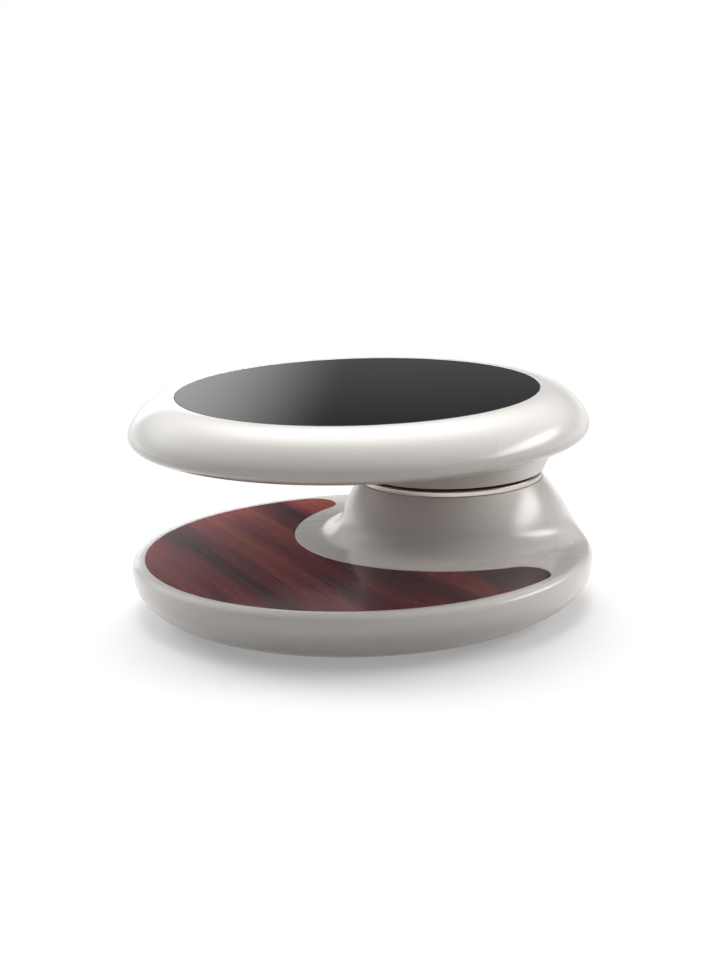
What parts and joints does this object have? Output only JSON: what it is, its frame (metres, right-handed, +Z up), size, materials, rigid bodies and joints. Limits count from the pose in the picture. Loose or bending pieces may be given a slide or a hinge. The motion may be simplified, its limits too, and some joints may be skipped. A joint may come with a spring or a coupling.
{
  "type": "swivel coffee table",
  "caption": "Low round coffee table whose glass-topped upper disc swivels about an off-centre column over a round base with an open wood shelf.",
  "frame": {"origin": "on the floor under the centre of the round base", "axes": "+Z up, +X from the table's centre towards the swivel axis, XZ the plane of symmetry"},
  "size_m": [0.8, 0.8, 0.38],
  "materials": {
    "white_lacquer": "warm white high-gloss lacquer on a moulded shell",
    "dark_wood": "dark red-brown wood with a satin lacquer",
    "black_glass": "black-backed tempered glass, polished",
    "polished_ring": "polished champagne-silver metal",
    "black_plastic": "matt black plastic",
    "grey_nylon": "grey nylon",
    "black_board": "black-painted fibreboard",
    "raw_board": "raw fibreboard",
    "black_steel": "black powder-coated steel",
    "bright_steel": "zinc-plated or ground steel",
    "bronze": "sintered bronze",
    "soft_silicone": "black silicone"
  },
  "bodies": {
    "base": {"foot_glides": "grey_nylon", "glide_screws": "bright_steel", "bottom_cover": "black_board", "ballast_plate": "black_steel", "base_shell_screws": "bright_steel", "column_post": "black_steel", "post_foot_bolts": "bright_steel", "post_head_bolts": "bright_steel", "head_plate": "black_steel", "king_pin": "bright_steel", "thrust_washer": "bronze", "king_nut": "bright_steel", "lower_race": "bright_steel", "lower_race_screws": "bright_steel", "trim_ring": "polished_ring", "gap_shield": "black_plastic", "base_shell": "white_lacquer", "column_collar_screws": "bright_steel", "shelf_panel": "dark_wood"},
    "cage": {"ball_cage": "grey_nylon", "bearing_balls": "bright_steel"},
    "top": {"upper_race": "bright_steel", "upper_race_screws": "bright_steel", "hub_plate": "black_steel", "hub_bush": "bronze", "neck_collar_screws": "bright_steel", "top_post": "black_steel", "top_post_bolts": "bright_steel", "support_panel_screws": "bright_steel", "support_panel": "raw_board", "top_under_shell": "white_lacquer", "rim_joint_screws": "bright_steel", "top_bezel": "white_lacquer", "bezel_screws": "bright_steel", "glass_tape": "soft_silicone", "glass_pads": "soft_silicone", "glass_top": "black_glass"}
  },
  "joints": [
    {"name": "top_swivel", "type": "hinge", "parent": "base", "child": "top", "pos_m": [0.197, 0, 0.2], "axis": [0, 0, 1], "continuous": true},
    {"name": "cage_turn", "type": "hinge", "parent": "base", "child": "cage", "pos_m": [0.197, 0, 0.2], "axis": [0, 0, 1], "continuous": true}
  ],
  "couplings": [
    {"joint": "cage_turn", "follows": "top_swivel", "ratio": 0.5}
  ]
}
